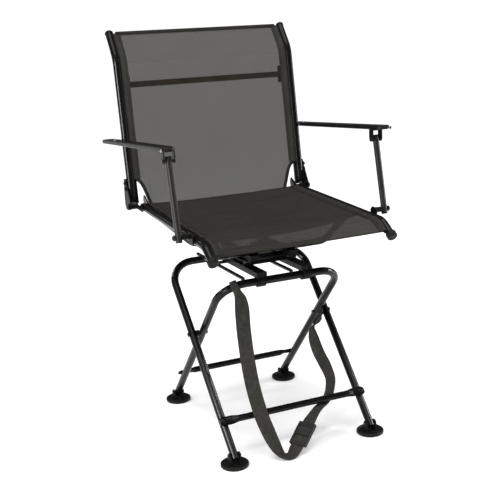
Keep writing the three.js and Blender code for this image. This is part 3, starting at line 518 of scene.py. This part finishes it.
# The fold is strap webbing, but it takes the darker binding webbing as painted shade for the shadow that the
# leg tubes cast on it.
strap_fold_painted_shade = ribbon("strap_end_fold_painted_shade", fold_line, fold_normals, FOLD_WIDTH, STRAP_THICKNESS, BINDING,
                    "inner_frame")


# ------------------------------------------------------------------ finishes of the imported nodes
FINISHES = (
    (TUBE, ("outer_leg_tube", "inner_leg_tube", "front_crossbar", "rear_crossbar", "brace_rods",
            "seat_cross_tube_front", "seat_cross_tube_rear", "seat_rail_left", "seat_rail_right",
            "back_post_left", "back_post_right", "back_top_rod")),
    (ARM, ("armrest_left", "armrest_right")),
    (PAINTED_LIGHT_SUPPORT, ("arm_support_left", "arm_support_right")),
    (PLATE, ("bracket_channel_left", "bracket_channel_right", "tube_clamp_left", "tube_clamp_right",
             "rear_saddle_left", "rear_saddle_right", "turntable_lower_plate",
             "turntable_upper_plate", "seat_mount_bar_left", "seat_mount_bar_right",
             "back_cross_brace", "back_hinge_plate_left", "back_hinge_plate_right",
             "hinge_stud_left", "hinge_stud_right", "arm_foot_bracket_left",
             "arm_foot_bracket_right")),
    (BOLT, ("turntable_bearing_ring", "turntable_kingpin", "armrest_pivot_pin_left",
            "armrest_pivot_pin_right")),
    (DARK_BOLT, ("arm_foot_bolt_left", "arm_foot_bolt_right",
                 "leg_pivot_bolt_left", "leg_pivot_bolt_right", "foot_pin_front_left",
                 "foot_pin_front_right", "foot_pin_rear_left", "foot_pin_rear_right")),
    (PLASTIC, ("leg_pivot_spacer_left", "leg_pivot_spacer_right", "foot_pad_front_left",
               "foot_pad_front_right", "foot_pad_rear_left", "foot_pad_rear_right",
               "rail_cap_left", "rail_cap_right", "post_cap_left", "post_cap_right")),
    (SLIDER, ("strap_slider",)),
    (SEAT_MESH, ("seat_sling", "seat_underlayer")),
    (BACK_MESH, ("back_sling",)),
    (STRAP, ("carry_strap",)),
)
for material, names in FINISHES:
    for name in names:
        mesh = nodes[name].data
        mesh.materials.clear()
        mesh.materials.append(material)
        mesh.shade_smooth()
        crisp = nodes[name].modifiers.new("edges", "EDGE_SPLIT")
        crisp.split_angle = math.radians(34)


# ------------------------------------------------------------------ slings
RAIL_X = 222
POST_X = 242
RIB = 16
RAIL_REAR = (205, 546.9)
RAIL_BEND = (-225, 525.4)
RAIL_FRONT = (-260, 501.3)
POST_FOOT = (229.7, 553)
POST_BEND = (276.9, 918)
POST_TOP = (321.5, 979)
CLOTH_LAP = 0.6  # how far the cloth reaches over each rib
SEAT_HALF = RAIL_X - RIB + CLOTH_LAP
BACK_HALF = POST_X - RIB + CLOTH_LAP
ROW_STEP = 0.008
COLUMNS = 36
ACROSS = [2 * j / COLUMNS - 1 for j in range(COLUMNS + 1)]


def between(a, b, share):
    return tuple(p + (q - p) * share for p, q in zip(a, b))


def facing(line, i, towards):
    """Normal of a line in the side plane, on the side that faces towards."""
    normal = tangent(line, i).cross(Vector((1, 0, 0))).normalized()
    return normal if normal.dot(towards) > 0 else -normal


UP = Vector((0, 0, 1))
FRONT = Vector((0, -1, 0))
seat_corners = [mm(0, RAIL_REAR[0] - 1, RAIL_REAR[1]), mm(0, *RAIL_BEND),
                mm(0, *between(RAIL_FRONT, RAIL_BEND, 0.12))]
seat_line = even_steps(rounded(seat_corners, 0.05, 10), ROW_STEP)
seat_normals = [facing(seat_line, i, UP) for i in range(len(seat_line))]


SEAT_LIFT = 0.0045
SEAT_SAG = 0.0090
SEAT_PULL = 0.0006  # height of the small waves beside the rails


def seat_point(i, u, lift=0.0):
    """Point of the seat's cloth on row i, at u from -1 on the left rail to 1 on the right."""
    share = i / (len(seat_line) - 1)
    sag = SEAT_SAG * math.sin(math.pi * min(1, 0.12 + share * 0.80)) * (1 - u * u)
    pull = SEAT_PULL * math.sin(9 * math.pi * share) * (abs(u) ** 8)
    height = SEAT_LIFT - sag + pull + lift
    return seat_line[i] + Vector((u * SEAT_HALF / 1000, 0, 0)) + seat_normals[i] * height


seat_rows = [[seat_point(i, u) for u in ACROSS] for i in range(len(seat_line))]
seat = grid("seat_cloth", seat_rows, SEAT_MESH, "seat")
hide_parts("seat_sling")

# The under layer hangs close below the seat and stops short of its front edge.
under_count = next(i for i, p in enumerate(seat_line) if p.y < mm(0, -150, 0).y)


def under_point(i, u):
    drop = 0.0028 + 0.013 * min(1, i / 12) * (1 - u * u)
    return seat_point(i, u * 0.998, -drop)


under_rows = [[under_point(i, u) for u in ACROSS] for i in range(under_count)]
under = grid("seat_under_layer", under_rows, UNDER_MESH, "seat")
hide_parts("seat_underlayer")

# Back: the cloth follows the posts and bows rearwards; its lower corners are cut away.
post_direction = (mm(0, *POST_TOP) - mm(0, *POST_BEND)).normalized()
top_rod = mm(0, *POST_TOP) + post_direction * 0.0015
CUT_OUT = ((540, 190.5), (549, 193.5), (558, 196.5), (568, 199.7), (577, 202.5), (586, 205.5),
           (594, 208.5), (600, 211.3), (605, 214.5), (609, 218), (612, 222.5), (614, 226.6))


def post_depth(z):
    """y of the straight lower part of the posts at height z."""
    rise = POST_BEND[1] - POST_FOOT[1]
    return POST_FOOT[0] + (POST_BEND[0] - POST_FOOT[0]) * (z - POST_FOOT[1]) / rise


upper_back = even_steps(rounded([mm(0, post_depth(614), 614), mm(0, *POST_BEND),
                                 top_rod - post_direction * 0.0052], 0.07, 10), ROW_STEP)
back_line = [mm(0, post_depth(z), z) for z, _ in CUT_OUT[:-1]] + upper_back
back_halves = [half for _, half in CUT_OUT[:-1]] + [BACK_HALF] * len(upper_back)
back_normals = [facing(back_line, i, FRONT) for i in range(len(back_line))]
back_run = [0.0]
for a, b in zip(back_line, back_line[1:]):
    back_run.append(back_run[-1] + (b - a).length)


BACK_BOW = 0.0058


def back_point(i, u, lift=0.0):
    """Point of the back's cloth on row i, at u from -1 to 1 across that row."""
    share = back_run[i] / back_run[-1]
    x = u * back_halves[i]
    w = x / BACK_HALF
    bow = BACK_BOW * math.sin(math.pi * min(1, 0.18 + 0.82 * share)) * (1 - w * w)
    return back_line[i] + Vector((x / 1000, 0, 0)) + back_normals[i] * (lift - bow)


back_rows = [[back_point(i, u) for u in ACROSS] for i in range(len(back_line))]
back_cloth = grid("back_cloth", back_rows, BACK_MESH, "back")
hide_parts("back_sling")


# ------------------------------------------------------------------ hems and seams
# Across a hem: distance in from the tube's flank and height over the cloth, in mm.
HEM_PROFILE = ((-6.4, 3.4), (0.0, 3.5), (2.2, 3.0), (5.2, 1.2), (9.0, 0.8), (12.6, 0.8))


def hem(name, rows, half, side, face, point, body, material):
    """Doubled cloth over the rib of a tube, on the face given by face (1 front, -1 behind)."""
    bands = [[point(i, side * (half - CLOTH_LAP - inset) / half, face * height / 1000)
              for inset, height in HEM_PROFILE] for i in rows]
    return grid(name, bands, material, body)


STITCH_INSETS = (7.4, 11.2)
STITCH_LIFT = 0.0014
for side, s in SIDES:
    rows = range(len(CUT_OUT) - 1, len(back_line))
    for place, face in (("front", 1), ("behind", -1)):
        hem(f"back_hem_{place}_{side}", rows, BACK_HALF, s, face, back_point,
                             "back", HEM)
    normals = [back_normals[i] for i in rows]
    for row, inset in enumerate(STITCH_INSETS):
        line = [back_point(i, s * (1 - inset / BACK_HALF), STITCH_LIFT) for i in rows]
        stitches(f"back_stitches_{side}_{row + 1}", line, normals, STITCH, "back")
    rows = range(0, len(seat_line))
    for place, face in (("top", 1), ("below", -1)):
        hem(f"seat_hem_{place}_{side}", rows, SEAT_HALF, s, face, seat_point,
                             "seat", HEM_SEAT)
    normals = [seat_normals[i] for i in rows]
    for row, inset in enumerate(STITCH_INSETS):
        line = [seat_point(i, s * (1 - inset / SEAT_HALF), STITCH_LIFT) for i in rows]
        stitches(f"seat_stitches_{side}_{row + 1}", line, normals, STITCH, "seat")
    # Bound edge of the cut-out.
    edge = [mm(s * half, post_depth(z), z) for z, half in CUT_OUT]
    edge.append(mm(s * (BACK_HALF - 0.5), post_depth(620), 620))
    edge = smooth_line(edge, 4)
    ribbon(f"cut_out_binding_{side}", edge, [FRONT] * len(edge), 0.0085, 0.0030,
                            BINDING, "back")
    stitches(f"cut_out_stitches_{side}", [p + FRONT * 0.0017 for p in edge],
                              [FRONT] * len(edge), SMALL_STITCH, "back")

# Turned-over front edge of the seat and bound rear edge.
last = len(seat_line) - 1
front_edge = [seat_point(last, u) for u in ACROSS]
round_tube("seat_front_edge", front_edge, 0.0017, 10, BINDING, "seat")
rear_edge = [seat_point(0, u) for u in ACROSS]
round_tube("seat_rear_edge", rear_edge, 0.0016, 10, BINDING, "seat")
fold = [seat_point(last - 2, 1.9 * j / COLUMNS - 0.95, 0.0004) for j in range(COLUMNS + 1)]
stitches("seat_front_stitches", fold, [seat_normals[last - 2]] * len(fold), STITCH,
                          "seat")
under_edge = [under_point(under_count - 1, u) for u in ACROSS]
under_trim = round_tube("under_layer_edge", under_edge, 0.0016, 10, BINDING, "seat")

# Lower edge of the back and the sleeve over its top rod.
low_edge = [back_point(0, u) for u in ACROSS]
round_tube("back_lower_edge", low_edge, 0.0018, 10, BINDING, "back")
SLEEVE_HALF = 0.2235
SEAM_HALF = 0.2145
sleeve_line = [top_rod + Vector(((2 * j / 24 - 1) * SLEEVE_HALF, 0, 0)) for j in range(25)]
round_tube("top_sleeve", sleeve_line, 0.0048, 18, BINDING, "back")
seam = [top_rod - post_direction * 0.0085 + back_normals[-1] * 0.0016
        + Vector((u * SEAM_HALF, 0, 0)) for u in ACROSS]
stitches("top_stitches", seam, [back_normals[-1]] * len(seam), STITCH, "back")


# ------------------------------------------------------------------ fasteners
RAIL_SLOPE = 0.05
for side, s in SIDES:
    outward = Vector((s, 0, 0))
    # Screws that hold the sling tracks to the posts and the rails.
    for n, z in enumerate((640, 770, 900)):
        rivet(f"post_screw_{side}_{n + 1}", mm(s * (POST_X - RIB + 2.5), post_depth(z) - 3, z), FRONT,
              0.0022, "back", DARK_BOLT)
    for n, y in enumerate((150, 20, -120)):
        height = 548.5 + (y - 238) * RAIL_SLOPE
        rivet(f"rail_screw_{side}_{n + 1}", mm(s * (RAIL_X - RIB + 3.5), y, height + 7.2), UP, 0.0022,
              "seat", DARK_BOLT)
    # Bright screw on the armrest's flank at its front corner and one over its pivot.
    rivet(f"armrest_screw_{side}", mm(s * 286.5, -165, 732), outward, 0.0036, f"arm_{side}")
    rivet(f"armrest_rear_screw_{side}", mm(s * 270, 249, 717.4), UP, 0.0042, f"arm_{side}")
    hex_bolt(f"support_foot_bolt_{side}", mm(s * 273.2, -170, 540), outward, 0.0046, "seat", DARK_BOLT)
    hex_bolt(f"hinge_nut_{side}", mm(s * 259.2, 217, 548), outward, 0.0055, "seat", DARK_BOLT)
    for n, z in enumerate((592, 606)):
        rivet(f"post_bolt_{side}_{n + 1}", mm(s * 258.0, post_depth(z), z), outward, 0.0040, "back",
              DARK_BOLT)
    # Turntable fixings: four above and four below.
    for n, y in enumerate((-58, 58)):
        hex_bolt(f"lower_plate_bolt_{side}_{n + 1}", mm(s * 58, y, 430.0), UP, 0.0050, "seat_bracket")
        hex_bolt(f"upper_plate_bolt_{side}_{n + 1}", mm(s * 50, y, 459.6), UP, 0.0050, "seat")


# ------------------------------------------------------------------ floor and light
floor_material = Nodes("studio_floor", Roughness=0.9, Specular_IOR_Level=0.1, Emission_Strength=0.2,
                       Emission_Color=(1, 1, 1, 1))
floor_tones = ((0.3, (0.93, 0.93, 0.93)), (0.7, (0.95, 0.95, 0.95)))
floor_material.colour(floor_material.ramp(floor_material.noise(3, 2), floor_tones))
FLOOR_HALF = 30
FLOOR_HEIGHT = -0.0003  # just under the foot pads, so the two faces never coincide
floor_corners = [(x * FLOOR_HALF, y * FLOOR_HALF, FLOOR_HEIGHT)
                 for x, y in ((-1, -1), (1, -1), (1, 1), (-1, 1))]
floor_mesh = bpy.data.meshes.new("floor")
floor_mesh.from_pydata(floor_corners, [], [(0, 1, 2, 3)])
floor_mesh.materials.append(floor_material.material)
floor = bpy.data.objects.new("floor", floor_mesh)
bpy.context.scene.collection.objects.link(floor)

world = bpy.data.worlds.new("studio")
bpy.context.scene.world = world
world.use_nodes = True
tree = world.node_tree
background = tree.nodes["Background"]
background.inputs[0].default_value = (1, 1, 1, 1)
background.inputs[1].default_value = 0.13
shown = tree.nodes.new("ShaderNodeBackground")
shown.inputs[0].default_value = (1, 1, 1, 1)
shown.inputs[1].default_value = 1.05
path_kind = tree.nodes.new("ShaderNodeLightPath")
choose = tree.nodes.new("ShaderNodeMixShader")
tree.links.new(path_kind.outputs["Is Camera Ray"], choose.inputs[0])
tree.links.new(background.outputs[0], choose.inputs[1])
tree.links.new(shown.outputs[0], choose.inputs[2])
tree.links.new(choose.outputs[0], tree.nodes["World Output"].inputs[0])


def lamp(name, kind, place, target, strength, size):
    data = bpy.data.lights.new(name, kind)
    data.energy = strength
    if kind == "AREA":
        data.shape = "RECTANGLE"
        data.size, data.size_y = size
    else:
        data.angle = size
    thing = bpy.data.objects.new(name, data)
    thing.location = place
    thing.rotation_euler = (Vector(target) - Vector(place)).to_track_quat("-Z", "Y").to_euler()
    bpy.context.scene.collection.objects.link(thing)


lamp("overhead_sun", "SUN", (-0.4, -0.5, 3), (0, 0, 0), 2.7, math.radians(60))
lamp("left_strip", "AREA", (-2.6, -1.0, 1.2), (0, 0, 0.6), 60, (0.22, 2.4))
lamp("right_strip", "AREA", (2.6, -0.6, 1.2), (0, 0, 0.6), 54, (0.2, 2.4))
lamp("rear_strip", "AREA", (-1.6, 2.4, 1.9), (0, 0, 0.6), 14, (1.2, 0.4))

bpy.context.scene.view_settings.view_transform = "Standard"
bpy.context.scene.view_settings.look = "None"
